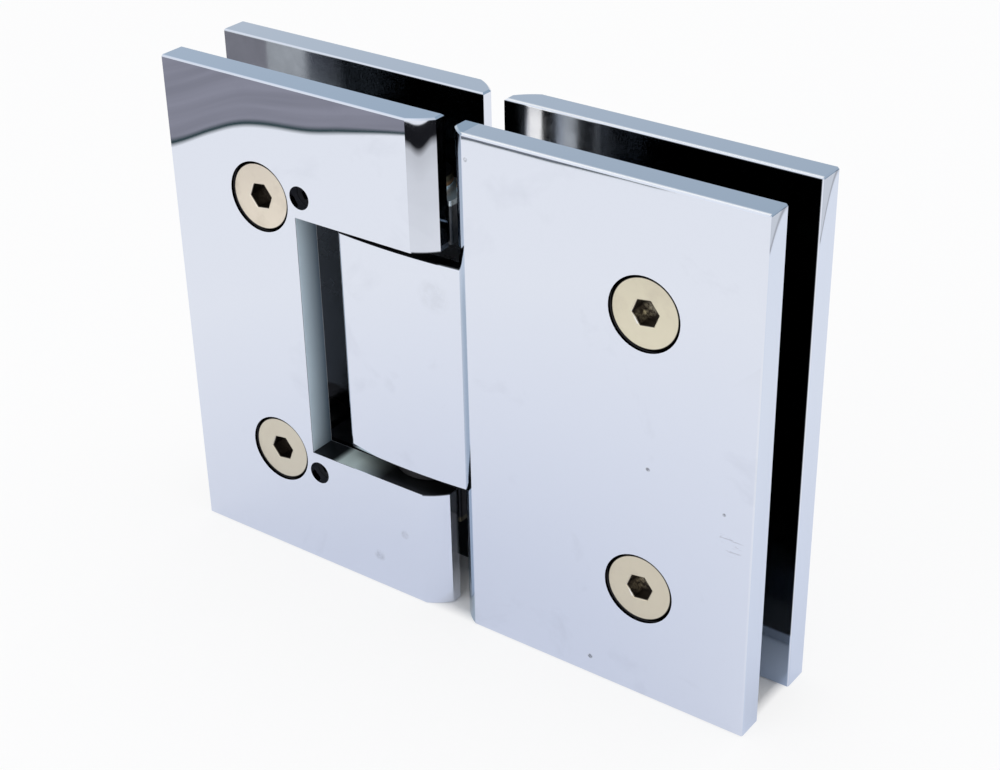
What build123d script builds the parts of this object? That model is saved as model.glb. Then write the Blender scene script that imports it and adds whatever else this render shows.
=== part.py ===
from build123d import *
import os
from math import cos, radians, sin, sqrt

os.makedirs("parts", exist_ok=True)

# Double-action hinge between a fixed glass panel (+X side) and a glass door (-X side).
# X runs along the plates, Y through the glass with the front at -Y, and Z up.
# The origin is the middle of the hinge, on the level of its lower edges.

# Plates
plate_height = 90.0
plate_width = 55.0
plate_thick = 5.0
leaf_gap = 4.0
edge_break = 0.3

# Glass slot
slot_width = 10.0
slot_gap = 1.0

# Pivot and plate noses
pivot_margin = 0.5
nose_clearance = 1.45
knuckle_nose_clearance = 1.05

# Window of the door plates round the knuckle
window_height = 45.0
window_gap = 6.2

# Knuckle block of the fixed leaf
knuckle_gap = 2.0
knuckle_recess = 3.0
knuckle_crown = 0.7
knuckle_corner = 0.8
knuckle_break = 0.2
knuckle_root = 1.0
stem_length = 12.0
stem_clearance = 0.3

# Clamp screws
screw_window_gap = 1.4
screw_spacing = 48.6
screw_head_diameter = 11.4
screw_head_gap = 0.5
screw_shank_diameter = 6.0
screw_shank_gap = 0.3
screw_socket = 4.0
screw_socket_depth = 2.5
screw_socket_break = 0.2
screw_socket_turn = 8.0
screw_sink = 0.35
recess_land = 0.5
tapped_floor = 0.8
tapped_bottom = 0.4
seat_clearance = 0.05
thread_clearance = 0.05

# Pivot arms
arm_height = 7.5
arm_end_inset = 0.2
arm_screw_gap = 2.1
arm_corner = 0.5
hub_clearance = 0.2
collar_height = 2.2
collar_break = 0.35
rib_height = 1.5
rib_width = 1.5
rib_clearance = 0.1
rib_length = 14.0

# Set screws of the arms
set_screw_inset = 3.7
set_screw_diameter = 4.0
set_screw_sink = 1.95
set_screw_point_diameter = 2.7
set_screw_point = 1.8
set_screw_socket = 2.0
set_screw_socket_depth = 2.0

# Pivot pin and its lock screws
pin_diameter = 9.0
pin_end_diameter = 6.5
pin_fit = 0.05
pin_recess = 0.2
pin_shoulder_gap = 0.1
pin_flat_depth = 0.7
pin_end_flat_depth = 0.4
lock_screw_diameter = 4.0
lock_screw_socket = 2.0
lock_screw_socket_depth = 1.6
lock_screw_recess = 0.3

# Bushes
bush_wall = 1.5
bush_flange_inset = 0.3
bush_flange_clearance = 0.2
bush_length = 6.0
bush_fit = 0.02
bore_clearance = 0.3

# Plunger, springs and cover
plunger_bush_gap = 1.1
plunger_side_gap = 0.05
plunger_thick = 2.9
plunger_clearance = 0.1
spring_room = 3.75
spring_inset = 5.9
spring_radius = 2.75
spring_wire = 1.1
spring_pitch = 1.5
spring_steps = 8
spring_sides = 5
spring_pocket_depth = 1.5
spring_pocket_margin = 0.3
spring_end_clearance = 0.05
cover_inset = 1.0
cover_seat = 0.45
cover_thick = 1.8
cover_clearance = 0.1
cover_screw_inset = 3.2
cover_screw_diameter = 2.5
cover_screw_head_diameter = 4.6
cover_screw_sink = 0.1
cover_screw_bush_gap = 0.95
cover_screw_socket = 1.5
cover_screw_socket_depth = 0.7

# Places worked out from the sizes above
inner_y = slot_width / 2
outer_y = inner_y + plate_thick
middle_z = plate_height / 2
near_x = leaf_gap / 2
far_x = near_x + plate_width
pivot_offset = outer_y + pivot_margin
pivot_x = -pivot_offset
nose_reach = pivot_offset + near_x
window_top = middle_z + window_height / 2
knuckle_top = window_top - knuckle_gap
knuckle_bottom = plate_height - knuckle_top
knuckle_half = outer_y - knuckle_recess
recess_diameter = screw_head_diameter + 2 * screw_head_gap
recess_bore_diameter = screw_shank_diameter + 2 * screw_shank_gap
tapped_depth = plate_thick - tapped_floor
plunger_face_x = pivot_x - pin_diameter / 2 - pin_fit
plunger_back_x = plunger_face_x - plunger_thick
cover_inner_x = plunger_back_x - spring_room
knuckle_end = cover_inner_x - cover_thick
window_x = window_gap - knuckle_end
screw_x = window_x + screw_window_gap + recess_diameter / 2
arm_middle = window_top + arm_height / 2
arm_top = window_top + arm_height
arm_near_x = -(near_x + arm_end_inset)
arm_far_x = -(screw_x - screw_shank_diameter / 2 - arm_screw_gap)
arm_half = inner_y - slot_gap
hub_diameter = slot_width - 2 * hub_clearance
collar_top = arm_top + collar_height
set_screw_x = arm_far_x + set_screw_inset
set_screw_length = outer_y - set_screw_sink - arm_half - seat_clearance
bush_diameter = pin_diameter + 2 * (pin_fit + bush_wall)
bush_flange_diameter = 2 * (knuckle_half - bush_flange_inset)
bush_flange_thick = knuckle_gap - bush_flange_clearance
flat_distance = pin_diameter / 2 - pin_flat_depth
plunger_height = 2 * (knuckle_top - middle_z - bush_length - plunger_bush_gap)
plunger_width = pin_diameter - 2 * plunger_side_gap
spring_spacing = plunger_height - 2 * spring_inset
cover_height = 2 * (knuckle_top - middle_z - cover_inset)
cover_width = plunger_width + 2 * (plunger_clearance + cover_seat)
cover_screw_spacing = cover_height - 2 * cover_screw_inset
cover_screw_length = pivot_x - bush_diameter / 2 - cover_screw_bush_gap - knuckle_end

# Planes of the front faces, of the inner faces at the rear, of the middle and of the knuckle's end
front_plane = Plane(origin=(0, -outer_y, 0), x_dir=(1, 0, 0), z_dir=(0, -1, 0))
rear_inner_plane = Plane(origin=(0, inner_y, 0), x_dir=(1, 0, 0), z_dir=(0, -1, 0))
middle_plane = Plane(origin=(0, 0, 0), x_dir=(1, 0, 0), z_dir=(0, -1, 0))
knuckle_end_plane = Plane(origin=(knuckle_end, 0, 0), x_dir=(0, -1, 0), z_dir=(-1, 0, 0))


def save(piece, name):
    piece.part.label = name
    export_step(piece.part, f"parts/{name}.step")


# Plan of one plate: hand is -1 for the door and 1 for the fixed side, face is -1 front and 1 rear.
# The nose is an arc about the pivot line, mirrored on the fixed side. The plate with the knuckle has a shorter one.
def plate_plan(hand, face):
    nose_radius = nose_reach - (knuckle_nose_clearance if (hand, face) == (1, -1) else nose_clearance)
    centre = Vector(hand * pivot_offset, 0)
    near = hand * near_x
    far = hand * far_x
    inner = face * inner_y
    outer = face * outer_y
    crease = Vector(hand * (pivot_offset - sqrt(nose_radius**2 - outer_y**2)), outer)
    tip = Vector(near, face * sqrt(nose_radius**2 - (pivot_offset - near_x) ** 2))
    bulge = centre + ((crease - centre) + (tip - centre)).normalized() * nose_radius
    with BuildSketch(Plane.XY) as plan:
        with BuildLine():
            Polyline(tip, (near, inner), (far, inner), (far, outer), crease)
            ThreePointArc(crease, bulge, tip)
        make_face()
    return plan.sketch


# One plain plate with its edges broken, apart from the upright ones at the nose, which stay crisp.
def plain_plate(hand, face):
    with BuildPart() as plate:
        add(plate_plan(hand, face))
        extrude(amount=plate_height)
        upright = plate.edges().filter_by(Axis.Z)
        crisp = upright.filter_by(lambda edge: abs(edge.center().X) < nose_reach)
        chamfer(plate.edges() - crisp, edge_break)
    return plate.part


# The two clamp screw places of one leaf, upper first.
def screw_places(hand):
    return [(hand * screw_x, middle_z + side * screw_spacing / 2) for side in (1, -1)]


# Shape cut from a front plate for one clamp screw: a short land, a countersink and a bore.
def screw_recess(x, z):
    sink_depth = recess_land + (recess_diameter - recess_bore_diameter) / 2
    with BuildPart() as recess:
        with BuildSketch(Plane(origin=(x, -outer_y, z), x_dir=(1, 0, 0), z_dir=(0, 0, 1))):
            with BuildLine():
                Polyline(
                    (0, 0),
                    (recess_diameter / 2, 0),
                    (recess_diameter / 2, recess_land),
                    (recess_bore_diameter / 2, sink_depth),
                    (recess_bore_diameter / 2, plate_thick),
                    (0, plate_thick),
                    close=True,
                )
            make_face()
        revolve(axis=Axis((x, 0, z), (0, 1, 0)))
    return recess.part


# Low ribs beyond the arms, which keep the arms square to a door plate.
def arm_ribs(face):
    with BuildPart() as ribs:
        for side in (1, -1):
            rib_z = middle_z + side * (arm_top - middle_z + rib_clearance + rib_width / 2)
            with BuildSketch(Plane.XZ.offset(-face * inner_y)):
                with Locations((arm_far_x + rib_length / 2, rib_z)):
                    Rectangle(rib_length, rib_width)
            extrude(amount=face * rib_height)
    return ribs.part


blanks = {(hand, face): plain_plate(hand, face) for hand in (-1, 1) for face in (-1, 1)}
recesses = {hand: [screw_recess(x, z) for x, z in screw_places(hand)] for hand in (-1, 1)}
front_ribs = arm_ribs(-1)
rear_ribs = arm_ribs(1)

# Door front plate
with BuildPart() as door_front_plate:
    add(blanks[-1, -1])
    add(front_ribs)
    with BuildSketch(front_plane):
        with Locations((-window_x, middle_z)):
            Rectangle(window_x, window_height, align=(Align.MIN, Align.CENTER))
    extrude(amount=-outer_y, mode=Mode.SUBTRACT)
    add(recesses[-1], mode=Mode.SUBTRACT)
    with BuildSketch(front_plane):
        with Locations(*[(set_screw_x, middle_z + side * (arm_middle - middle_z)) for side in (1, -1)]):
            Circle(set_screw_diameter / 2 + thread_clearance)
    extrude(amount=-plate_thick, mode=Mode.SUBTRACT)

# Door rear plate
with BuildPart() as door_rear_plate:
    add(blanks[-1, 1])
    add(rear_ribs)
    with BuildSketch(middle_plane):
        with Locations((-window_x, middle_z)):
            Rectangle(window_x, window_height, align=(Align.MIN, Align.CENTER))
    extrude(amount=-outer_y, mode=Mode.SUBTRACT)
    with BuildSketch(rear_inner_plane):
        with Locations(*screw_places(-1)):
            Circle(screw_shank_diameter / 2 + thread_clearance)
    extrude(amount=-tapped_depth, mode=Mode.SUBTRACT)

# Fixed front plate, cast in one with the knuckle block and the stem behind it
with BuildPart() as fixed_front_plate:
    with BuildSketch(Plane.XY.offset(knuckle_bottom)):
        with BuildLine():
            root_x = near_x + knuckle_root
            root_y = inner_y + knuckle_root
            shoulder_x = near_x - stem_clearance
            middle_x = (knuckle_end + shoulder_x) / 2
            stem_x = near_x + stem_length
            ThreePointArc(
                (knuckle_end, -knuckle_half),
                (middle_x, -knuckle_half - knuckle_crown),
                (root_x, -knuckle_half),
            )
            Polyline(
                (root_x, -knuckle_half),
                (root_x, -root_y),
                (stem_x, -root_y),
                (stem_x, arm_half),
                (shoulder_x, arm_half),
                (shoulder_x, knuckle_half),
            )
            ThreePointArc(
                (shoulder_x, knuckle_half),
                (middle_x, knuckle_half + knuckle_crown),
                (knuckle_end, knuckle_half),
            )
            Line((knuckle_end, knuckle_half), (knuckle_end, -knuckle_half))
        make_face()
    extrude(amount=knuckle_top - knuckle_bottom)
    fillet(fixed_front_plate.edges().filter_by(Axis.Z).group_by(Axis.X)[0], knuckle_corner)
    rims = fixed_front_plate.edges().group_by(Axis.Z)
    chamfer(rims[0] + rims[-1], knuckle_break)
    add(blanks[1, -1])
    add(recesses[1], mode=Mode.SUBTRACT)
    with Locations((pivot_x, 0, middle_z)):
        Cylinder(pin_diameter / 2 + bore_clearance, knuckle_top - knuckle_bottom, mode=Mode.SUBTRACT)
    for side in (1, -1):
        bush_middle = middle_z + side * (knuckle_top - middle_z - bush_length / 2)
        with Locations((pivot_x, 0, bush_middle)):
            Cylinder(bush_diameter / 2 + bush_fit, bush_length, mode=Mode.SUBTRACT)
    with BuildSketch(knuckle_end_plane):
        with Locations((0, middle_z)):
            SlotOverall(cover_height + 2 * cover_clearance, cover_width + 2 * cover_clearance, rotation=90)
    extrude(amount=-cover_thick, mode=Mode.SUBTRACT)
    pocket_width = plunger_width + 2 * plunger_clearance
    with BuildSketch(knuckle_end_plane):
        with Locations((0, middle_z)):
            SlotOverall(plunger_height + 2 * plunger_clearance, pocket_width, rotation=90)
    extrude(amount=-(pivot_x - knuckle_end), mode=Mode.SUBTRACT)
    with BuildSketch(knuckle_end_plane):
        with Locations(*[(0, middle_z + side * cover_screw_spacing / 2) for side in (1, -1)]):
            Circle(cover_screw_diameter / 2 + thread_clearance)
    extrude(amount=-(cover_screw_length + cover_clearance), mode=Mode.SUBTRACT)

# Fixed rear plate
with BuildPart() as fixed_rear_plate:
    add(blanks[1, 1])
    with BuildSketch(rear_inner_plane):
        with Locations(*screw_places(1)):
            Circle(screw_shank_diameter / 2 + thread_clearance)
    extrude(amount=-tapped_depth, mode=Mode.SUBTRACT)

save(door_front_plate, "door_front_plate")
save(door_rear_plate, "door_rear_plate")
save(fixed_front_plate, "fixed_front_plate")
save(fixed_rear_plate, "fixed_rear_plate")


# Countersunk clamp screw with a hexagon socket, through the glass into the rear plate
def clamp_screw(x, z):
    head_radius = screw_head_diameter / 2
    cone_start = recess_land + recess_diameter / 2 - seat_clearance - head_radius
    cone_end = cone_start + head_radius - screw_shank_diameter / 2
    tip = plate_thick + slot_width + tapped_depth - tapped_bottom
    with BuildPart() as screw:
        with BuildSketch(Plane(origin=(x, -outer_y, z), x_dir=(1, 0, 0), z_dir=(0, 0, 1))):
            with BuildLine():
                Polyline(
                    (0, screw_sink),
                    (head_radius, screw_sink),
                    (head_radius, cone_start),
                    (screw_shank_diameter / 2, cone_end),
                    (screw_shank_diameter / 2, tip),
                    (0, tip),
                    close=True,
                )
            make_face()
        revolve(axis=Axis((x, 0, z), (0, 1, 0)))
        with BuildSketch(front_plane.offset(-screw_sink)):
            with Locations((x, z)):
                RegularPolygon(screw_socket / 2, 6, major_radius=False, rotation=screw_socket_turn)
        extrude(amount=-screw_socket_depth, mode=Mode.SUBTRACT)
        mouth = screw.edges().filter_by(GeomType.LINE).group_by(Axis.Y)[0]
        chamfer(mouth, screw_socket_break)
    return screw


for leaf, hand in (("door", -1), ("fixed", 1)):
    for level, (x, z) in zip(("upper", "lower"), screw_places(hand)):
        save(clamp_screw(x, z), f"{leaf}_{level}_clamp_screw")


# Pieces that come as an upper one and its mirror image below: side is 1 above and -1 below
def level_plane(height, side):
    return Plane(origin=(0, 0, middle_z + side * (height - middle_z)), x_dir=(1, 0, 0), z_dir=(0, 0, side))


# Pivot arm: a bar in the plane of the glass with a round hub for the end of the pin
def pivot_arm(side):
    with BuildPart() as arm:
        with BuildSketch(level_plane(window_top, side)):
            with Locations(((arm_near_x + arm_far_x) / 2, 0)):
                Rectangle(arm_near_x - arm_far_x, 2 * arm_half)
        extrude(amount=arm_height)
        fillet(arm.edges().filter_by(Axis.Z), arm_corner)
        with BuildSketch(level_plane(window_top, side)):
            with Locations((pivot_x, 0)):
                Circle(hub_diameter / 2)
        extrude(amount=arm_height + collar_height)
        collar_rim = arm.faces().filter_by(Axis.Z).sort_by(Axis.Z)[-1 if side > 0 else 0].edges()
        chamfer(collar_rim, collar_break)
        with BuildSketch(level_plane(window_top, side)):
            with Locations((pivot_x, 0)):
                Circle(pin_end_diameter / 2 + pin_fit)
        extrude(amount=arm_height + collar_height, mode=Mode.SUBTRACT)
        lock_z = middle_z + side * (arm_middle - middle_z)
        with BuildSketch(Plane(origin=(arm_near_x, 0, lock_z), x_dir=(0, 1, 0), z_dir=(1, 0, 0))):
            Circle(lock_screw_diameter / 2 + thread_clearance)
        extrude(amount=-(arm_near_x - pivot_x), mode=Mode.SUBTRACT)
        with BuildSketch(Plane(origin=(set_screw_x, -arm_half, lock_z), x_dir=(1, 0, 0), z_dir=(0, -1, 0))):
            Circle(set_screw_point_diameter / 2 + thread_clearance)
        extrude(amount=-(set_screw_point + seat_clearance), mode=Mode.SUBTRACT)
    return arm


# Set screw that holds an arm, with a dog point in the blind hole of the arm
def set_screw(side):
    z = middle_z + side * (arm_middle - middle_z)
    seat_y = -arm_half - seat_clearance
    head_y = seat_y - set_screw_length
    with BuildPart() as screw:
        with BuildSketch(Plane(origin=(set_screw_x, head_y, z), x_dir=(1, 0, 0), z_dir=(0, -1, 0))):
            Circle(set_screw_diameter / 2)
        extrude(amount=-set_screw_length)
        with BuildSketch(Plane(origin=(set_screw_x, seat_y, z), x_dir=(1, 0, 0), z_dir=(0, -1, 0))):
            Circle(set_screw_point_diameter / 2)
        extrude(amount=-set_screw_point)
        with BuildSketch(Plane(origin=(set_screw_x, head_y, z), x_dir=(1, 0, 0), z_dir=(0, -1, 0))):
            RegularPolygon(set_screw_socket / 2, 6, major_radius=False)
        extrude(amount=-set_screw_socket_depth, mode=Mode.SUBTRACT)
    return screw


# Lock screw from the end of an arm onto the flat of the pin
def lock_screw(side):
    z = middle_z + side * (arm_middle - middle_z)
    head_x = arm_near_x - lock_screw_recess
    tip_x = pivot_x + pin_end_diameter / 2 - pin_end_flat_depth + seat_clearance
    with BuildPart() as screw:
        with BuildSketch(Plane(origin=(head_x, 0, z), x_dir=(0, 1, 0), z_dir=(1, 0, 0))):
            Circle(lock_screw_diameter / 2)
        extrude(amount=-(head_x - tip_x))
        with BuildSketch(Plane(origin=(head_x, 0, z), x_dir=(0, 1, 0), z_dir=(1, 0, 0))):
            RegularPolygon(lock_screw_socket / 2, 6, major_radius=False)
        extrude(amount=-lock_screw_socket_depth, mode=Mode.SUBTRACT)
    return screw


# Flanged bush in the knuckle
def bush(side):
    with BuildPart() as ring:
        with BuildSketch(level_plane(knuckle_top, side)):
            with Locations((pivot_x, 0)):
                Circle(bush_flange_diameter / 2)
        extrude(amount=bush_flange_thick)
        with BuildSketch(level_plane(knuckle_top, side)):
            with Locations((pivot_x, 0)):
                Circle(bush_diameter / 2)
        extrude(amount=-bush_length)
        with BuildSketch(level_plane(knuckle_top + bush_flange_thick, side)):
            with Locations((pivot_x, 0)):
                Circle(pin_diameter / 2 + pin_fit)
        extrude(amount=-(bush_flange_thick + bush_length), mode=Mode.SUBTRACT)
    return ring


# Coil spring between the cover and a pocket of the plunger, its turns in short straight steps
def spring(side):
    z = middle_z + side * spring_spacing / 2
    first_x = cover_inner_x + spring_end_clearance + spring_wire / 2
    last_x = plunger_back_x + spring_pocket_depth - spring_end_clearance - spring_wire / 2
    steps = round(spring_steps * (last_x - first_x) / spring_pitch)
    points = []
    for step in range(steps + 1):
        angle = radians(360 * step / spring_steps)
        x = first_x + (last_x - first_x) * step / steps
        points.append((x, spring_radius * cos(angle), z + spring_radius * sin(angle)))
    with BuildPart() as coil:
        with BuildLine() as path:
            Polyline(*points)
        with BuildSketch(Plane(origin=path.line @ 0, x_dir=(1, 0, 0), z_dir=path.line % 0)):
            RegularPolygon(spring_wire / 2, spring_sides)
        sweep(transition=Transition.RIGHT)
    return coil


# Countersunk screw of the spring cover
def cover_screw(side):
    z = middle_z + side * cover_screw_spacing / 2
    head_radius = cover_screw_head_diameter / 2 - cover_screw_sink - seat_clearance
    with BuildPart() as screw:
        with BuildSketch(Plane(origin=(knuckle_end, 0, z), x_dir=(1, 0, 0), z_dir=(0, -1, 0))):
            with BuildLine():
                Polyline(
                    (cover_screw_sink, 0),
                    (cover_screw_sink, head_radius),
                    (cover_screw_sink + head_radius - cover_screw_diameter / 2, cover_screw_diameter / 2),
                    (cover_screw_length, cover_screw_diameter / 2),
                    (cover_screw_length, 0),
                    close=True,
                )
            make_face()
        revolve(axis=Axis((0, 0, z), (1, 0, 0)))
        with BuildSketch(knuckle_end_plane.offset(-cover_screw_sink)):
            with Locations((0, z)):
                RegularPolygon(cover_screw_socket / 2, 6, major_radius=False)
        extrude(amount=-cover_screw_socket_depth, mode=Mode.SUBTRACT)
    return screw


for level, side in (("upper", 1), ("lower", -1)):
    save(pivot_arm(side), f"{level}_pivot_arm")
    save(set_screw(side), f"{level}_set_screw")
    save(lock_screw(side), f"{level}_lock_screw")
    save(bush(side), f"{level}_bush")
    save(spring(side), f"{level}_spring")
    save(cover_screw(side), f"{level}_cover_screw")

# Pivot pin: a round body in the bushes, four flats for the plunger and a thinner end in each arm
with BuildPart() as pivot_pin:
    with BuildSketch(Plane.XZ):
        with BuildLine():
            body_top = window_top - pin_shoulder_gap
            end_top = collar_top - pin_recess
            Polyline(
                (pivot_x, middle_z),
                (pivot_x + pin_diameter / 2, middle_z),
                (pivot_x + pin_diameter / 2, body_top),
                (pivot_x + pin_end_diameter / 2, body_top),
                (pivot_x + pin_end_diameter / 2, end_top),
                (pivot_x, end_top),
                close=True,
            )
        make_face()
    revolve(axis=Axis((pivot_x, 0, 0), (0, 0, 1)))
    mirror(about=Plane.XY.offset(middle_z))
    flat_height = plunger_height + 2 * plunger_clearance
    with BuildSketch(Plane.XY.offset(middle_z)):
        with Locations((pivot_x, 0)):
            Circle(pin_diameter / 2)
            Rectangle(2 * flat_distance, 2 * flat_distance, mode=Mode.SUBTRACT)
    extrude(amount=flat_height / 2, both=True, mode=Mode.SUBTRACT)
    for side in (1, -1):
        flat_x = pivot_x + pin_end_diameter / 2 - pin_end_flat_depth
        lock_z = middle_z + side * (arm_middle - middle_z)
        with Locations((flat_x, 0, lock_z)):
            Box(pin_end_diameter, pin_end_diameter, lock_screw_diameter + 2 * seat_clearance,
                align=(Align.MIN, Align.CENTER, Align.CENTER), mode=Mode.SUBTRACT)

# Cam plunger: its flat face stands just clear of the round of the pin, the travel closes it on a flat
with BuildPart() as cam_plunger:
    with BuildSketch(Plane(origin=(plunger_back_x, 0, middle_z), x_dir=(0, 1, 0), z_dir=(1, 0, 0))):
        SlotOverall(plunger_height, plunger_width, rotation=90)
    extrude(amount=plunger_thick)
    with BuildSketch(Plane(origin=(plunger_back_x, 0, middle_z), x_dir=(0, 1, 0), z_dir=(1, 0, 0))):
        with Locations((0, spring_spacing / 2), (0, -spring_spacing / 2)):
            Circle(spring_radius + spring_wire / 2 + spring_pocket_margin)
    extrude(amount=spring_pocket_depth, mode=Mode.SUBTRACT)

# Cover that closes the end of the knuckle over the springs
with BuildPart() as spring_cover:
    with BuildSketch(knuckle_end_plane):
        with Locations((0, middle_z)):
            SlotOverall(cover_height, cover_width, rotation=90)
    extrude(amount=-cover_thick)
    for side in (1, -1):
        with Locations(Plane(origin=(knuckle_end, 0, middle_z + side * cover_screw_spacing / 2),
                             x_dir=(0, -1, 0), z_dir=(-1, 0, 0))):
            CounterSinkHole(cover_screw_diameter / 2 + thread_clearance, cover_screw_head_diameter / 2,
                            depth=cover_thick, counter_sink_angle=90)

save(pivot_pin, "pivot_pin")
save(cam_plunger, "cam_plunger")
save(spring_cover, "spring_cover")
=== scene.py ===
import math

import bpy
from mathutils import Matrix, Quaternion, Vector


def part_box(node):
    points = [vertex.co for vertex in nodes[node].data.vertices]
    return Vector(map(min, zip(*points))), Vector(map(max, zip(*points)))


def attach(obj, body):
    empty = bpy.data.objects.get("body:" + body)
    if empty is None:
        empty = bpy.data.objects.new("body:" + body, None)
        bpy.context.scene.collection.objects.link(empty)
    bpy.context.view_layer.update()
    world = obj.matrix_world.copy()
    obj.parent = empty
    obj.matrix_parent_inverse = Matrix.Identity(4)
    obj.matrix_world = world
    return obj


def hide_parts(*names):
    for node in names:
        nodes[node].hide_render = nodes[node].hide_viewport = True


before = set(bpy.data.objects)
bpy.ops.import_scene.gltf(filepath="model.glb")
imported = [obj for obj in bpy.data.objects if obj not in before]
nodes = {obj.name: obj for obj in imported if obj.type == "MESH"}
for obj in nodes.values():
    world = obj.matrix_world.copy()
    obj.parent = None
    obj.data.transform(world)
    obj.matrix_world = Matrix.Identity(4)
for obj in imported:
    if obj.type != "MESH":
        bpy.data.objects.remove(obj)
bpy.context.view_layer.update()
mm = 0.001
print("frame loaded:", len(nodes), "nodes")


class Field:
    # a socket in an expression, where each operator adds one Math node
    def __init__(self, tree, socket):
        self.tree = tree
        self.socket = socket

    def math(self, operation, *terms, clamp=False):
        made = self.tree.nodes.new("ShaderNodeMath")
        made.operation = operation
        made.use_clamp = clamp
        for place, term in zip(made.inputs, terms):
            if isinstance(term, Field):
                self.tree.links.new(term.socket, place)
            else:
                place.default_value = term
        return Field(self.tree, made.outputs[0])

    def __add__(self, other):
        return self.math("ADD", self, other)

    def __radd__(self, other):
        return self.math("ADD", other, self)

    def __sub__(self, other):
        return self.math("SUBTRACT", self, other)

    def __rsub__(self, other):
        return self.math("SUBTRACT", other, self)

    def __mul__(self, other):
        return self.math("MULTIPLY", self, other)

    def __rmul__(self, other):
        return self.math("MULTIPLY", other, self)

    def __truediv__(self, other):
        return self.math("DIVIDE", self, other)

    def __rtruediv__(self, other):
        return self.math("DIVIDE", other, self)

    def root(self):
        return self.math("SQRT", self)

    def sine(self):
        return self.math("SINE", self)

    def size(self):
        return self.math("ABSOLUTE", self)

    def larger(self, other):
        return self.math("MAXIMUM", self, other)

    def above(self, low, high):
        # 0 at low, 1 at high, straight between them
        return self.math("DIVIDE", self - low, high - low, clamp=True)

    def below(self, low, high):
        # 1 at low, 0 at high
        return 1 - self.above(low, high)


class Finish:
    # a material or world under construction
    def __init__(self, name, holder=None):
        self.holder = holder or bpy.data.materials.new(name)
        self.holder.use_nodes = True
        self.tree = self.holder.node_tree
        self.tree.nodes.clear()

    def add(self, kind, settings=None, inputs=None, output=0):
        made = self.tree.nodes.new("ShaderNode" + kind)
        for key, setting in (settings or {}).items():
            setattr(made, key, setting)
        for key, value in (inputs or {}).items():
            if isinstance(value, Field):
                self.tree.links.new(value.socket, made.inputs[key])
            else:
                made.inputs[key].default_value = value
        return Field(self.tree, made.outputs[output]) if len(made.outputs) else made

    def place(self):
        return self.add("TexCoord", output="Object")

    def split(self, vector):
        return [self.add("SeparateXYZ", inputs={0: vector}, output=axis) for axis in "XYZ"]

    def stretched(self, vector, scale):
        return self.add("VectorMath", {"operation": "MULTIPLY"}, {0: vector, 1: scale})

    def millimetres(self, point):
        return self.split(self.stretched(point, (1 / mm, 1 / mm, 1 / mm)))

    def noise(self, vector, scale, detail=3.0, roughness=0.5, distortion=0.0):
        return self.add("TexNoise", None, {"Vector": vector, "Scale": scale, "Detail": detail,
                                           "Roughness": roughness, "Distortion": distortion})

    def blend(self, factor, first, second):
        return self.add("Mix", {"data_type": "RGBA"}, {0: factor, 6: tone(first), 7: tone(second)}, output=2)

    def bump(self, height, strength, distance):
        return self.add("Bump", None, {"Strength": strength, "Distance": distance, "Height": height})

    def attribute(self, name):
        return self.add("Attribute", {"attribute_name": name}, output="Fac")

    def ray(self, kind):
        return self.add("LightPath", output=f"Is {kind} Ray")

    def close(self, **inputs):
        named = {key.replace("_", " "): value for key, value in inputs.items()}
        shader = self.add("BsdfPrincipled", None, named)
        self.add("OutputMaterial", None, {"Surface": shader})
        return self.holder


def tone(colour):
    # a colour of three numbers gets its alpha
    return colour if isinstance(colour, Field) else (*colour[:3], 1.0)


def reach(x, z, place):
    # distance from a place in the plane of the plates
    across = x - place[0]
    up = z - place[1]
    return (across * across + up * up).root()


def spot(x, z, place, radius):
    # 1 at a place in the plane of the plates, 0 past the radius
    return reach(x, z, place).below(radius * 0.55, radius)


def dress(finish, *names):
    for name in names:
        for slot in nodes[name].material_slots:
            slot.material = finish


def addObject(name, data):
    made = bpy.data.objects.new(name, data)
    bpy.context.scene.collection.objects.link(made)
    return made


# Mirror chrome of the plates, duller where the polishing wheel did not reach, with painted shade on the end
# faces and on the door plate's top, a painted highlight along the fixed plates' top arris, and painted shade
# in the screw recesses. Lengths are in millimetres
chrome = {
    "colour": (0.765, 0.800, 0.885),
    "smear": (0.640, 0.672, 0.760),
    "endShade": (0.675, 0.735, 0.860),
    "topShade": (0.640, 0.715, 0.835),
    "topArrisHighlight": (0.960, 0.975, 1.000),
    "recess": (0.020, 0.020, 0.022),
    "roughness": 0.018,
    "faceDepth": 9.97,
    "recessRadius": 6.22,
    "topHeight": 89.90,
    "waveSize": 55.0,
    "waveHeight": 0.012 * mm,
    "scratchStretch": (900.0, 900.0, 9.0),
}

# The plates' inner faces: a dimmer chrome that paints shade between the plates, cloudy, with painted shade
# toward the knuckle, a painted shaded strip, a painted lit band and a painted floor reflection at the foot
inside = {
    "colour": (0.600, 0.625, 0.660),
    "cloud": (0.200, 0.215, 0.220),
    "toKnuckle": (0.052, 0.058, 0.064),
    "shaded": (0.055, 0.062, 0.072),
    "lit": (0.960, 0.965, 0.980),
    "foot": (0.420, 0.500, 0.640),
    "roughness": 0.045,
    "face": 5.05,
}

# The window round the knuckle and the ends and nose beside it, with painted shade and painted light
window = {
    "wall": (0.780, 0.920, 1.000),
    "wallShade": (0.050, 0.090, 0.135),
    "sill": (0.045, 0.048, 0.052),
    "sillLight": (0.520, 0.620, 0.610),
    "noseShade": (0.520, 0.610, 0.720),
    "noseShadeLow": (0.350, 0.450, 0.550),
    "roughness": 0.40,
    "outerFace": 9.90,
    "middle": 45.0,
}

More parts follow.
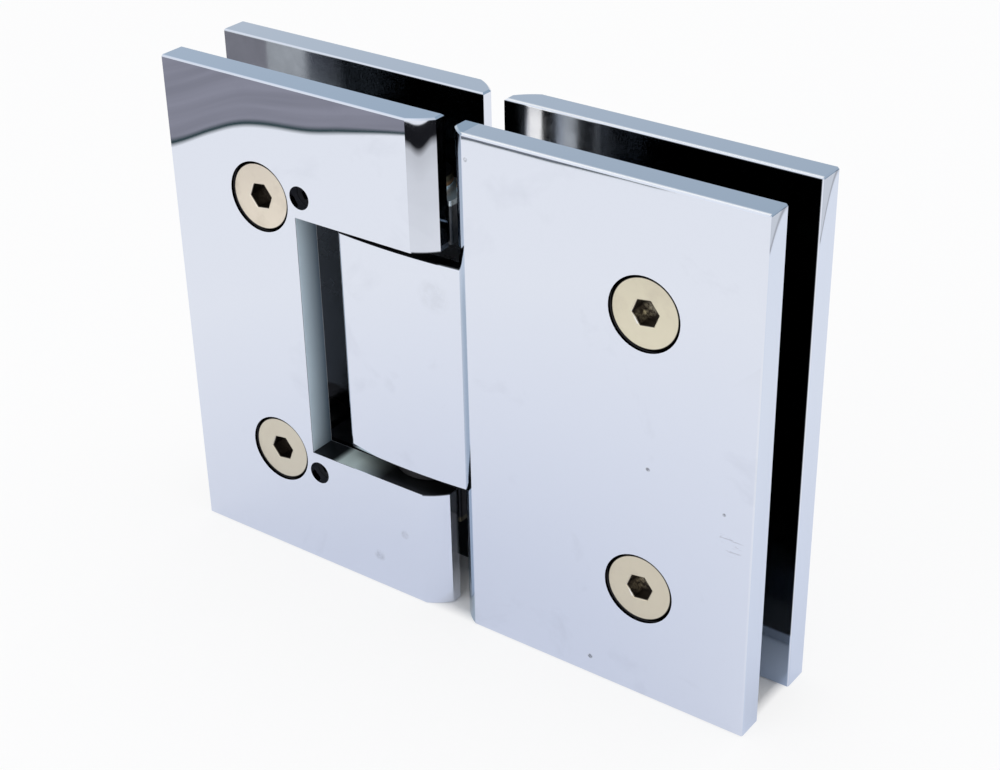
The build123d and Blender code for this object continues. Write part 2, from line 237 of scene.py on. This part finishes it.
# Dirt on the front faces: place across and up, radius and strength
marks = {
    "colour": (0.030, 0.030, 0.034),
    "door_front_plate": [((-15.7, 6.3), 1.3, 0.20), ((-9.8, 12.8), 1.0, 0.16)],
    "fixed_front_plate": [((38.6, 43.3), 0.42, 0.95), ((52.0, 40.1), 0.36, 0.75), ((28.4, 3.6), 0.50, 0.85),
                          ((-3.5, 59.5), 3.4, 0.07), ((5.6, 86.0), 0.45, 0.35)],
}
scratches = {"place": (53.2, 35.2), "radius": 2.6, "strength": 0.45, "colour": (0.33, 0.32, 0.40),
             "stretch": (380.0, 1.0, 2400.0)}

# Painted reflection at the top corner of the fixed plates' end faces, which are polished round: a grey patch
# with a darker painted line along it, over painted shade on the whole end face.
# For each plate: its front face and how far down the corner reaches
corners = {
    "fixed_front_plate": (-10.0, 6.0),
    "fixed_rear_plate": (5.0, 11.0),
    "colour": (0.42, 0.45, 0.50),
    "edge": (0.16, 0.17, 0.21),
    "end": 56.90,
    "top": 90.0,
    "thick": 5.0,
}


class Plate:
    # the chrome of one plate, which each step below changes in one place
    def __init__(self, name):
        self.name = name
        self.finish = Finish("polishedChrome_" + name)
        self.point = self.finish.place()
        self.x, self.y, self.z = self.finish.millimetres(self.point)
        self.depth = self.y.size()
        self.inner = self.depth.below(inside["face"], inside["face"] + 0.04)
        self.metallic = 1.0

    def noise(self, *settings):
        return self.finish.noise(self.point, *settings)

    def tint(self, mask, colour):
        self.colour = self.finish.blend(mask, self.colour, colour)

    def polish(self):
        smear = self.noise(70.0, 4.0, 0.6, 0.4).above(0.60, 0.80)
        streaks = self.finish.stretched(self.point, chrome["scratchStretch"])
        hair = self.finish.noise(streaks, 1.0, 2.0).above(0.70, 0.78)
        dust = self.noise(2600.0, 1.0).above(0.74, 0.80)
        self.colour = self.finish.blend(smear * 0.5 + dust * 0.25, chrome["colour"], chrome["smear"])
        self.roughness = chrome["roughness"] + smear * 0.05 + hair * 0.04

    def openWindow(self):
        # in front, the upright wall is satin, painted lighter at the front and darker inward as shade, and
        # the sill has a pale patch of painted light; the rest is painted dark as shade
        height = (self.z - window["middle"]).size()
        sunk = self.depth.below(window["outerFace"], window["outerFace"] + 0.04)
        opening = sunk * self.x.above(-29.9, -29.8) * height.below(22.6, 22.8)
        upright = self.x.below(-29.6, -29.5) * height.below(22.40, 22.48)
        wall = window["sill"]
        sill = window["sill"]
        if self.name == "door_front_plate":
            wall = self.finish.blend(self.depth.above(4.8, 10.0), window["wallShade"], window["wall"])
            # pale patch of painted light on the sill, less metallic
            palePatch = self.x.above(-25.5, -24.0) * self.x.below(-21.0, -14.5) * self.z.below(30, 31)
            sill = self.finish.blend(palePatch, sill, window["sillLight"])
            self.metallic = 1 - opening * upright.larger(palePatch) * 0.85
        self.tint(opening, self.finish.blend(upright, sill, wall))
        self.roughness = self.roughness + opening * window["roughness"]

    def darkenKnuckle(self):
        # painted dark shade on the ends of the knuckle, and on the narrow face of the nose beside the gap a
        # darker painted reflection, darker still lower down
        ends = self.x.below(1.9, 2.0) * (self.z - window["middle"]).size().above(20.3, 20.4)
        self.tint(ends, window["sill"])
        self.roughness = self.roughness + ends * 0.2
        nose = self.x.below(4.75, 4.9) * self.x.above(1.9, 2.0) * (1 - self.inner)
        self.tint(nose, self.finish.blend(self.z.above(60, 68), window["noseShadeLow"], window["noseShade"]))

    def coverInside(self):
        clouds = self.noise(130.0, 5.0, 0.7).above(0.35, 0.75)
        grime = self.noise(700.0, 2.0, 0.5).above(0.80, 0.84)
        # the inner faces get a dimmer chrome, painted shade between the plates, with clouds and grime over it
        cloudy = self.finish.blend(clouds * 0.35 + grime * 0.5, inside["colour"], inside["cloud"])
        self.tint(self.inner, cloudy)
        self.roughness = self.roughness + self.inner * (inside["roughness"] + clouds * 0.09)
        if self.name == "door_rear_plate":
            # painted shade in a strip behind the window, made rougher too
            strip = self.inner * (self.z - window["middle"]).size().below(25, 31) * self.x.above(-46, -40)
            self.tint(strip, inside["shaded"])
            self.roughness = self.roughness + strip * 0.15
            # painted shade toward the knuckle
            self.tint(self.inner * self.x.above(-38, -30), inside["toKnuckle"])
        if self.name == "fixed_rear_plate":
            # painted reflections: a bright painted band beside the gap, painted shade further in, and a paler
            # painted floor reflection at the foot
            self.tint(self.inner * self.x.above(5.6, 6.4) * self.x.below(10.6, 11.2), inside["lit"])
            self.tint(self.inner * self.x.below(5.7, 6.4), inside["toKnuckle"])
            far = self.finish.blend(self.z.below(10.3, 10.8), inside["shaded"], inside["foot"])
            self.tint(self.inner * self.x.above(17.5, 20), far)

    def paintCornerReflection(self):
        front, down = corners[self.name]
        # painted shade over the whole end face, then the painted grey reflection and its darker painted line
        # at the top corner
        end = self.x.above(corners["end"], corners["end"] + 0.06)
        self.tint(end, chrome["endShade"])
        left = (self.y - front).below(0.0, corners["thick"])
        over = self.z - (corners["top"] - left * left * down)
        edge = over.size().below(0.0, 1.1) * over.above(-0.9, 0.2)
        self.tint(end * over.above(-0.4, 0.5) * 0.55, corners["colour"])
        self.tint(end * edge * 0.8, corners["edge"])

    def paintTopShadeAndHighlight(self):
        # painted shade on the door front plate's top face, and a painted highlight along the front arris of
        # the fixed plates' tops, pale and less metallic
        top = self.z.above(chrome["topHeight"], chrome["topHeight"] + 0.04)
        if self.name == "door_front_plate":
            self.tint(top, chrome["topShade"])
        if self.name in corners:
            start = corners[self.name][0] + 0.25
            topArrisHighlight = top * (self.y - start).below(0.15, 0.50)
            self.tint(topArrisHighlight, chrome["topArrisHighlight"])
            self.metallic = 1 - topArrisHighlight * 0.7
            self.roughness = self.roughness + topArrisHighlight * 0.2

    def darkenRecesses(self):
        leaf = self.name.split("_")[0]
        for screw in [node for node in nodes if node.startswith(leaf) and node.endswith("clamp_screw")]:
            low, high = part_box(screw)
            middle = (low + high) / 2 / mm
            radius = chrome["recessRadius"]
            # painted shade on the floor of each screw recess, round the head
            recess = reach(self.x, self.z, (middle.x, middle.z)).below(radius, radius + 0.05)
            under = self.depth.below(chrome["faceDepth"], chrome["faceDepth"] + 0.015)
            self.tint(recess * under, chrome["recess"])

    def mark(self):
        for place, radius, strength in marks.get(self.name, []):
            ragged = self.noise(1400.0 / radius, 3.0, 0.7).above(0.30, 0.60)
            dirt = spot(self.x, self.z, place, radius) * ragged * strength * (1 - self.inner)
            self.tint(dirt, marks["colour"])
            self.roughness = self.roughness + dirt * 0.3
        if self.name == "fixed_front_plate":
            area = spot(self.x, self.z, scratches["place"], scratches["radius"])
            drawn = self.finish.stretched(self.point, scratches["stretch"])
            lines = self.finish.noise(drawn, 1.0, 3.0, 0.6, 0.8)
            scratch = area * lines.above(0.60, 0.66) * scratches["strength"]
            self.tint(scratch, scratches["colour"])
            self.roughness = self.roughness + scratch * 0.3


def polishedChrome(name):
    plate = Plate(name)
    plate.polish()
    if name.startswith("door"):
        plate.openWindow()
    if name == "fixed_front_plate":
        plate.darkenKnuckle()
    plate.coverInside()
    if name.startswith("fixed"):
        plate.paintCornerReflection()
    if name != "door_rear_plate":
        plate.paintTopShadeAndHighlight()
    plate.darkenRecesses()
    plate.mark()
    wave = plate.noise(chrome["waveSize"], 1.0)
    return plate.finish.close(
        Base_Color=plate.colour,
        Metallic=plate.metallic,
        Roughness=plate.roughness,
        Normal=plate.finish.bump(wave, 1.0, chrome["waveHeight"]),
    )


# Plain cast metal of the arms and the spring cover, plated thinly and stained round the hub; the lower arm is
# a darker copy that paints shade, and the upper arm's hub has painted highlights and painted shade
cast = {
    "upperArm": {"colour": (0.075, 0.080, 0.090), "pale": (0.170, 0.175, 0.185)},
    "shadedLowerArm": {"colour": (0.018, 0.018, 0.021), "pale": (0.045, 0.046, 0.050)},
    "cover": {"colour": (0.520, 0.560, 0.620), "pale": (0.170, 0.175, 0.185)},
    "stain": (0.115, 0.098, 0.062),
    "orangeHighlight": (0.420, 0.230, 0.115),
    "rim": (0.80, 0.88, 0.90),
    "slitShade": (0.015, 0.015, 0.015),
    "roughness": 0.33,
    "hubHeight": 74.0,
    "rimTop": 75.3,
    "hubDark": 76.9,
    "middle": 45.0,
}


def plainCast(name):
    finish = Finish("plainCast_" + name)
    point = finish.place()
    z = finish.millimetres(point)[2]
    cloud = finish.noise(point, 210.0, 5.0, 0.65).above(0.40, 0.78)
    grain = finish.noise(point, 1900.0, 3.0)
    hubStart = cast["hubHeight"] - cast["middle"]
    hub = (z - cast["middle"]).size().above(hubStart, hubStart + 0.3)
    colour = finish.blend(cloud, cast[name]["colour"], cast[name]["pale"])
    colour = finish.blend(hub * 0.85, colour, cast["stain"])
    if name == "upperArm":
        # a painted highlight on the rim under the round of the hub, a painted orange highlight over it, brown
        # stain above, and painted black shade on top
        rimTop = cast["rimTop"]
        colour = finish.blend(z.above(cast["hubHeight"], cast["hubHeight"] + 0.2), colour, cast["rim"])
        colour = finish.blend(z.above(rimTop, rimTop + 0.1), colour, cast["orangeHighlight"])
        colour = finish.blend(z.above(rimTop + 0.4, rimTop + 0.9), colour, cast["stain"])
        colour = finish.blend(z.above(cast["hubDark"], cast["hubDark"] + 0.1), colour, cast["slitShade"])
    return finish.close(
        Base_Color=colour,
        Metallic=1.0,
        Roughness=cast["roughness"] + cloud * 0.12,
        Normal=finish.bump(grain, 0.3, 0.008 * mm),
    )


# Turned satin nickel of the clamp screws: the colour of each head, lighter or darker by painted light and
# shade on the one nickel, and how bright the painted glints in its socket and on its key hole arris are
nickel = {
    "door_upper_clamp_screw": {"colour": (0.955, 0.865, 0.725), "glint": 0.10},
    "door_lower_clamp_screw": {"colour": (0.705, 0.649, 0.527), "glint": 0.05},
    "fixed_upper_clamp_screw": {"colour": (0.856, 0.793, 0.611), "glint": 0.75},
    "fixed_lower_clamp_screw": {"colour": (0.748, 0.673, 0.519), "glint": 0.70},
    "stain": (0.640, 0.560, 0.450),
    "socket": (0.110, 0.095, 0.082),
    "shank": (0.020, 0.019, 0.018),
    "keyHighlight": (1.0, 1.0, 1.0),
    "socketRadius": 2.36,
    "keyFlat": 2.0,
    "faceDepth": 9.50,
    "rimRadius": 5.58,
    "roughness": 0.30,
    "ringSize": 0.22,
    "ringHeight": 0.004 * mm,
}


def satinNickel(name):
    finish = Finish("satinNickel_" + name)
    low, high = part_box(name)
    middle = (low + high) / 2 / mm
    look = nickel[name]
    point = finish.place()
    x, y, z = finish.millimetres(point)
    across = x - middle.x
    up = z - middle.z
    radius = (across * across + up * up).root()
    grooves = (radius * (2 * math.pi / nickel["ringSize"])).sine()
    uneven = finish.noise(point, 900.0, 2.0)
    stain = finish.noise(point, 180.0, 4.0, 0.6).above(0.52, 0.72)
    sunk = y.size().below(nickel["faceDepth"], nickel["faceDepth"] + 0.06)
    socket = sunk * radius.below(nickel["socketRadius"], nickel["socketRadius"] + 0.06)
    rim = radius.above(nickel["rimRadius"], nickel["rimRadius"] + 0.09)
    shank = y.size().below(5.0, 5.1)
    face = finish.blend(stain * 0.35, look["colour"], nickel["stain"])
    # painted glint in the socket, and a painted highlight on the lower left flat of the key hole
    paleSpot = spot(x, z, (middle.x - 0.85, middle.z - 0.70), 1.45)
    paleSpot = paleSpot * finish.noise(point, 1500.0, 3.0, 0.7).above(0.42, 0.62) * look["glint"]
    outward = across * -0.866 + up * -0.5
    along = across * -0.5 + up * 0.866
    flat = nickel["keyFlat"]
    keyHighlight = outward.above(flat - 0.04, flat + 0.02) * outward.below(flat + 0.14, flat + 0.22)
    keyHighlight = keyHighlight * along.size().below(1.05, 1.20) * (1 - sunk) * look["glint"]
    face = finish.blend(keyHighlight, face, nickel["keyHighlight"])
    # the socket is painted dark as shade, with the painted glint in it
    colour = finish.blend(socket, face, finish.blend(paleSpot, nickel["socket"], look["colour"]))
    return finish.close(
        # the rim of the head is painted dark as shade in the gap round it; the hidden shank is dark too
        Base_Color=finish.blend(shank.larger(rim * 0.9), colour, nickel["shank"]),
        Metallic=1.0,
        Roughness=nickel["roughness"] + uneven * 0.10,
        Normal=finish.bump(grooves * uneven, 0.5, nickel["ringHeight"]),
    )


# Black acetal of the bushes
acetal = {"colour": (0.010, 0.010, 0.011), "palePatch": (0.035, 0.035, 0.037), "roughness": 0.42,
          "grain": 0.02 * mm}


def blackAcetal():
    finish = Finish("blackAcetal")
    point = finish.place()
    cloud = finish.noise(point, 160.0, 4.0)
    grain = finish.noise(point, 2200.0, 2.0)
    return finish.close(
        Base_Color=finish.blend(cloud.above(0.35, 0.75), acetal["colour"], acetal["palePatch"]),
        Roughness=acetal["roughness"] + grain * 0.12,
        Normal=finish.bump(grain, 0.35, acetal["grain"]),
    )


# Black oxide of the set screws and lock screws
oxide = {"colour": (0.012, 0.012, 0.014), "paleSpot": (0.10, 0.10, 0.11), "roughness": 0.38, "grain": 0.01 * mm}


def blackOxide():
    finish = Finish("blackOxide")
    point = finish.place()
    wear = finish.noise(point, 700.0, 5.0, 0.65).above(0.60, 0.75)
    grain = finish.noise(point, 3000.0, 2.0)
    return finish.close(
        Base_Color=finish.blend(wear * 0.6, oxide["colour"], oxide["paleSpot"]),
        Metallic=0.85,
        Roughness=oxide["roughness"] + grain * 0.15 - wear * 0.12,
        Normal=finish.bump(grain, 0.3, oxide["grain"]),
    )


# Bare steel: drawn for the springs, ground for the plunger and small screws, and dark on the pin
steel = {
    "springSteel": {"colour": (0.20, 0.20, 0.215), "dark": (0.09, 0.09, 0.10), "roughness": 0.30,
                    "along": (300, 300, 300)},
    "groundSteel": {"colour": (0.17, 0.17, 0.18), "dark": (0.09, 0.09, 0.10), "roughness": 0.24,
                    "along": (150, 150, 2400)},
    "pinSteel": {"colour": (0.040, 0.040, 0.044), "dark": (0.02, 0.02, 0.022), "roughness": 0.30,
                 "along": (150, 150, 2400)},
}


def bareSteel(name):
    look = steel[name]
    finish = Finish(name)
    point = finish.place()
    lines = finish.noise(finish.stretched(point, look["along"]), 1.0, 3.0)
    cloud = finish.noise(point, 240.0, 3.0)
    return finish.close(
        Base_Color=finish.blend(cloud.above(0.45, 0.80), look["colour"], look["dark"]),
        Metallic=1.0,
        Roughness=look["roughness"] + lines * 0.16,
        Normal=finish.bump(lines, 0.35, 0.006 * mm),
    )


# Springs wound from round wire, in the place of the plain ones
wound = {"wire": 1.1, "coil": 2.75, "pitch": 1.5, "stepsPerTurn": 32, "sides": 12, "smoothBelow": 50}


def windSpring(name):
    low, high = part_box(name)
    wire = wound["wire"] / 2 * mm
    first = low.x + wire
    length = high.x - low.x - 2 * wire
    middleZ = (low.z + high.z) / 2
    steps = round(wound["stepsPerTurn"] * length / (wound["pitch"] * mm))
    sides = wound["sides"]
    spots, faces = [], []
    for step in range(steps + 1):
        angle = math.tau * step / wound["stepsPerTurn"]
        outward = Vector((0, math.cos(angle), math.sin(angle)))
        centre = Vector((first + length * step / steps, 0, middleZ)) + outward * wound["coil"] * mm
        for side in range(sides):
            turn = math.tau * side / sides
            spots.append(centre + (outward * math.cos(turn) + Vector((1, 0, 0)) * math.sin(turn)) * wire)
    for step in range(steps):
        for side in range(sides):
            a = step * sides + side
            b = step * sides + (side + 1) % sides
            faces.append((a, b, b + sides, a + sides))
    faces += [tuple(range(sides))[::-1], tuple(range(steps * sides, (steps + 1) * sides))]
    mesh = bpy.data.meshes.new(name + "_wire")
    mesh.from_pydata(spots, [], faces)
    mesh.shade_smooth()
    mesh.set_sharp_from_angle(angle=math.radians(wound["smoothBelow"]))
    spring = addObject(name + "_wire", mesh)
    mesh.materials.append(bareSteel("springSteel"))
    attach(spring, "fixed_leaf")
    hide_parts(name)


plateCrease = 15  # degrees past which an edge of a plate stays sharp
for name in nodes:
    if name.endswith("_plate"):
        dress(polishedChrome(name), name)
        nodes[name].data.set_sharp_from_angle(angle=math.radians(plateCrease))
    if name.endswith("clamp_screw"):
        dress(satinNickel(name), name)
dress(plainCast("upperArm"), "upper_pivot_arm")
dress(plainCast("shadedLowerArm"), "lower_pivot_arm")
dress(plainCast("cover"), "spring_cover")
dress(blackAcetal(), "upper_bush", "lower_bush")
dress(blackOxide(), *[name for name in nodes if name.endswith(("set_screw", "lock_screw"))])
dress(bareSteel("springSteel"), "upper_spring", "lower_spring")
dress(bareSteel("pinSteel"), "pivot_pin")
dress(bareSteel("groundSteel"), "cam_plunger", "upper_cover_screw", "lower_cover_screw")
for name in ("upper_spring", "lower_spring"):
    windSpring(name)
print("finishes made")


# Pale floor with the object's own shadow, made lighter to the camera and in mirrors, where it also gets a
# painted bluish shadow near the object and is darker far away. Lengths are in metres
floor = {
    "half": 6.0,
    "colour": (0.90, 0.90, 0.905),
    "white": (1.0, 1.0, 1.0),
    "far": (0.80, 0.80, 0.81),
    "near": (0.76, 0.80, 0.92),
    "lift": 0.80,
    "mirrorLift": 0.52,
    "farRing": (0.26, 0.80),
    "nearRing": (0.03, 0.135),
    "openRing": (0.4, 2.5),
}


def makeFloor():
    half = floor["half"]
    mesh = bpy.data.meshes.new("floor")
    square = [(-half, -half, 0), (half, -half, 0), (half, half, 0), (-half, half, 0)]
    mesh.from_pydata(square, [], [(0, 1, 2, 3)])
    sheet = addObject("floor", mesh)
    finish = Finish("floorPaper")
    point = finish.place()
    x, y = finish.split(point)[:2]
    distance = (x * x + y * y).root()
    toCamera = finish.ray("Camera")
    inMirror = finish.ray("Glossy")
    inGlass = finish.ray("Transmission")
    shade = finish.blend(distance.above(*floor["farRing"]) * (1 - toCamera), floor["white"], floor["far"])
    # painted bluish shadow near the object, seen only in mirrors
    shade = finish.blend(distance.below(*floor["nearRing"]) * inMirror, shade, floor["near"])
    paper = finish.add("BsdfPrincipled", None, {
        "Base Color": tone(floor["colour"]),
        "Roughness": 0.9 + finish.noise(point, 3.0, 2.0) * 0.05,
        "Specular IOR Level": 0.0,
    })
    glow = finish.add("BsdfPrincipled", None, {
        "Base Color": tone((0, 0, 0)),
        "Specular IOR Level": 0.0,
        "Emission Color": shade,
        "Emission Strength": 1.0,
    })
    under = x.size().below(0.0545, 0.0565) * y.size().below(0.0075, 0.0100)  # dark between the plates
    seen = floor["lift"] + distance.above(*floor["openRing"]) * (1 - floor["lift"])  # whiter far away
    lift = (toCamera * seen + (inMirror + inGlass) * floor["mirrorLift"]) * (1 - under)
    mixed = finish.add("MixShader", None, {0: lift, 1: paper, 2: glow})
    finish.add("OutputMaterial", None, {"Surface": mixed})
    mesh.materials.append(finish.holder)


# Cards that only mirrors see: each is a grid of rows with its numbers on the points
def makeCard(name, rows, values, build):
    mesh = bpy.data.meshes.new(name)
    wide = len(rows[0])
    faces = [(r * wide + c, r * wide + c + 1, (r + 1) * wide + c + 1, (r + 1) * wide + c)
             for r in range(len(rows) - 1) for c in range(wide - 1)]
    mesh.from_pydata([Vector(place) * mm for row in rows for place in row], [], faces)
    for key, numbers in values.items():
        flat = [number for row in numbers for number in row]
        mesh.attributes.new(key, "FLOAT", "POINT").data.foreach_set("value", flat)
    card = addObject(name, mesh)
    finish = Finish(name)
    colour, cover = build(finish)
    mesh.materials.append(finish.close(
        Base_Color=tone((0, 0, 0)),
        Specular_IOR_Level=0.0,
        Emission_Color=colour,
        Emission_Strength=1.0,
        Alpha=cover,
    ))
    card.visible_camera = False
    card.visible_diffuse = False
    card.visible_shadow = False


def smoothed(points, steps=6):
    # points on a smooth curve through the given ones
    ends = [points[0]] + points + [points[-1]]
    curve = []
    for a, b, c, d in zip(ends, ends[1:], ends[2:], ends[3:]):
        for step in range(steps):
            t = step / steps
            curve.append([0.5 * (2 * q + (r - p) * t + (2 * p - 5 * q + 4 * r - s) * t * t
                                 + (3 * q - p - 3 * r + s) * t * t * t) for p, q, r, s in zip(a, b, c, d)])
    return curve + [points[-1]]


# The dark table past the white sheet, with the shadow along the sheet's edge
table = {
    "edge": [(-700, 200), (-330, -20), (-225, -95), (-196, -118), (-187.6, -131), (-184.8, -144.5),
             (-181.4, -152.7), (-174, -156.7), (-162.8, -159.9), (-153.2, -165.3), (-141.5, -172.5),
             (-127, -179.6), (-114, -180.1), (-95, -180.3), (-76, -181.0), (-59, -182.3), (-30, -192),
             (10, -240), (60, -340), (500, -800)],
    "outward": (-0.66, -0.75),
    "depths": (0, 2.5, 5, 7.5, 10, 60, 1500),
    "height": 0.4,
    "colour": (0.255, 0.252, 0.288),
    "pale": (0.312, 0.307, 0.350),
    "edgeColour": (0.030, 0.058, 0.062),
}


def edgeSoftness(x):
    # how many millimetres the sheet's edge fades over, more to the left
    gradual = min(3.1, max(1.0, 1.0 - (x + 128) * 0.075))
    return gradual + min(2.0, max(0.0, -185.5 - x) * 0.3)


def makeTable():
    edge = smoothed(table["edge"])
    acrossX, acrossY = table["outward"]
    rows = [[(x + acrossX * depth, y + acrossY * depth, table["height"]) for x, y in edge]
            for depth in table["depths"]]
    values = {
        "depth": [[depth] * len(edge) for depth in table["depths"]],
        "along": [[x * 0.8 - y * 0.6 for x, y in edge]] * len(rows),
        "soft": [[edgeSoftness(x) for x, y in edge]] * len(rows),
    }

    def build(finish):
        depth = finish.attribute("depth")
        run = finish.attribute("along")
        streaked = finish.add("CombineXYZ", None, {"X": depth * 0.085, "Y": run * 0.011})
        streaks = finish.noise(streaked, 1.0, 3.0, 0.55, 0.3).above(0.36, 0.66)
        wood = finish.blend(streaks, table["colour"], table["pale"])
        fade = depth / finish.attribute("soft")
        return finish.blend(fade.below(1.2, 2.2), wood, table["edgeColour"]), fade.above(0.0, 1.0)

    makeCard("table", rows, values, build)


# Dark thing in the room that the rounded nose of the door plate mirrors, on circles about the pivot
noseCard = {
    "pivot": (-10.5, 0.0),
    "turn": (-84.0, -31.0),
    "steps": 24,
    "height": 0.5,
    "inside": 105.0,
    "low": 223.0,
    "dip": 9.0,
    "high": 236.0,
    "bowl": 6.0,
    "colour": (0.012, 0.012, 0.014),
}


def makeNoseCard():
    first, last = noseCard["turn"]
    pivotX, pivotY = noseCard["pivot"]
    rows = [[] for _ in range(6)]
    shades = [[] for _ in range(6)]
    for step in range(noseCard["steps"] + 1):
        t = step / noseCard["steps"]
        angle = math.radians(first + (last - first) * t)
        sag = max(0.0, math.sin(math.pi * t))
        low = noseCard["low"] - noseCard["dip"] * sag ** 2
        high = noseCard["high"] - noseCard["bowl"] * sag
        levels = [(noseCard["inside"], 0.0), (low - 24, 0.20), (low - 7, 0.34),
                  (low, 1.0), (high, 1.0), (high + 0.8, 0.0)]
        for row, shade, (away, dark) in zip(rows, shades, levels):
            row.append((pivotX + away * math.cos(angle), pivotY + away * math.sin(angle), noseCard["height"]))
            shade.append(dark)

    def build(finish):
        return tone(noseCard["colour"]), finish.attribute("dark").above(0.0, 1.0)

    makeCard("noseCard", rows, {"dark": shades}, build)


# Room light: white to the camera and even on the object.
# In mirrors it is white low down and in front, and blue-grey high up behind
room = {
    "low": (1.0, 1.0, 1.0),
    "behind": (0.335, 0.430, 0.520),
    "front": (0.95, 0.97, 1.0),
    "even": (0.62, 0.625, 0.64),
    "toCamera": (1.0, 1.0, 1.0),
    "strength": 1.0,
}


def makeRoom():
    world = bpy.data.worlds.new("room")
    bpy.context.scene.world = world
    finish = Finish("room", world)
    y, z = finish.split(finish.add("TexCoord", output="Generated"))[1:]
    high = finish.blend(y.above(-0.40, 0.10), room["front"], room["behind"])
    sky = finish.blend(z.above(0.05, 0.45), room["low"], high)
    colour = finish.blend(finish.ray("Glossy") + finish.ray("Transmission"), room["even"], sky)
    colour = finish.blend(finish.ray("Camera"), colour, room["toCamera"])
    light = finish.add("Background", None, {"Color": colour, "Strength": room["strength"]})
    finish.add("OutputWorld", None, {"Surface": light})


# Soft boxes: place, aim, size in metres and power in watts
softBoxes = {
    "overheadBox": {"place": (0.10, 0.15, 1.30), "aim": (0.0, 0.0, 0.0), "size": 1.6, "power": 8.0},
    "frontBox": {"place": (-0.5, -1.1, 0.9), "aim": (0.0, 0.0, 0.02), "size": 1.0, "power": 3.0},
}


def makeSoftBoxes():
    for name, box in softBoxes.items():
        lamp = bpy.data.lights.new(name, "AREA")
        lamp.shape = "SQUARE"
        lamp.size = box["size"]
        lamp.energy = box["power"]
        holder = addObject(name, lamp)
        holder.location = box["place"]
        aim = Vector(box["aim"]) - holder.location
        holder.rotation_euler = aim.to_track_quat("-Z", "Y").to_euler()
        holder.visible_glossy = False


# Camera where the photograph was taken from: millimetres and degrees
view = {"place": (167.2, -220.5, 199.0), "aim": (3.77, 0.0, 42.1), "roll": 1.2, "lens": 69.33, "sensor": 36.0,
        "nearest": 10.0, "furthest": 50000.0}


def makeCamera():
    data = bpy.data.cameras.new("camera")
    data.lens = view["lens"]
    data.sensor_width = view["sensor"]
    data.sensor_fit = "HORIZONTAL"
    data.clip_start = view["nearest"] * mm
    data.clip_end = view["furthest"] * mm
    camera = addObject("camera", data)
    camera.location = Vector(view["place"]) * mm
    aim = Vector(view["aim"]) * mm - camera.location
    roll = Quaternion((0, 0, 1), -math.radians(view["roll"]))
    camera.rotation_mode = "QUATERNION"
    camera.rotation_quaternion = aim.to_track_quat("-Z", "Y") @ roll
    bpy.context.scene.camera = camera


makeFloor()
makeTable()
makeNoseCard()
makeRoom()
makeSoftBoxes()
makeCamera()
bpy.context.scene.view_settings.view_transform = "Standard"
print("studio made")
